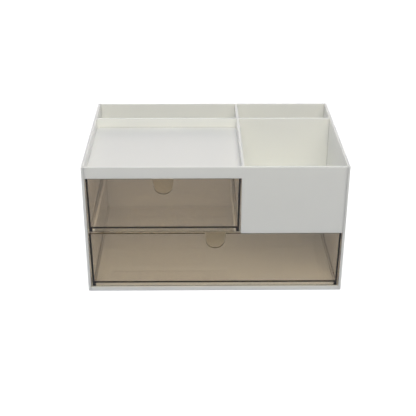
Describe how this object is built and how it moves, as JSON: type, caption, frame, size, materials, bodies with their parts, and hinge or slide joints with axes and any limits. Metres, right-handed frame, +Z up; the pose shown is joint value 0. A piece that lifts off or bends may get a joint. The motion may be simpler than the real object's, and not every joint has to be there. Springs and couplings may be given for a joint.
{
  "type": "desk organizer",
  "caption": "Moulded desk organizer: a shallow top tray, a deep pen bin and rear slots over a short and a full-width smoked pull-out drawer.",
  "frame": {"origin": "middle of the footprint, on the plane that the foot pads stand on", "axes": "+X to the right and -Y towards the drawer fronts, +Z up"},
  "size_m": [0.26, 0.178, 0.14],
  "materials": {
    "shell": "satin",
    "smoked_clear": "gloss",
    "pad_rubber": "matte"
  },
  "bodies": {
    "casing": {"left_side": "shell", "right_side": "shell", "rear_panel": "shell", "front_frame": "shell", "partition": "shell", "long_divider": "shell", "tray_deck": "shell", "bin_floor": "shell", "left_slot_floor": "shell", "right_slot_floor": "shell", "base": "shell", "left_runner": "shell", "right_runner": "shell", "foot_pads": "pad_rubber"},
    "short_drawer": {"upper_drawer": "smoked_clear"},
    "wide_drawer": {"lower_drawer": "smoked_clear"}
  },
  "joints": [
    {"name": "upper_drawer_slide", "type": "slide", "parent": "casing", "child": "short_drawer", "axis": [0, -1, 0], "range_m": [0, 0.1]},
    {"name": "lower_drawer_slide", "type": "slide", "parent": "casing", "child": "wide_drawer", "axis": [0, -1, 0], "range_m": [0, 0.14]}
  ]
}
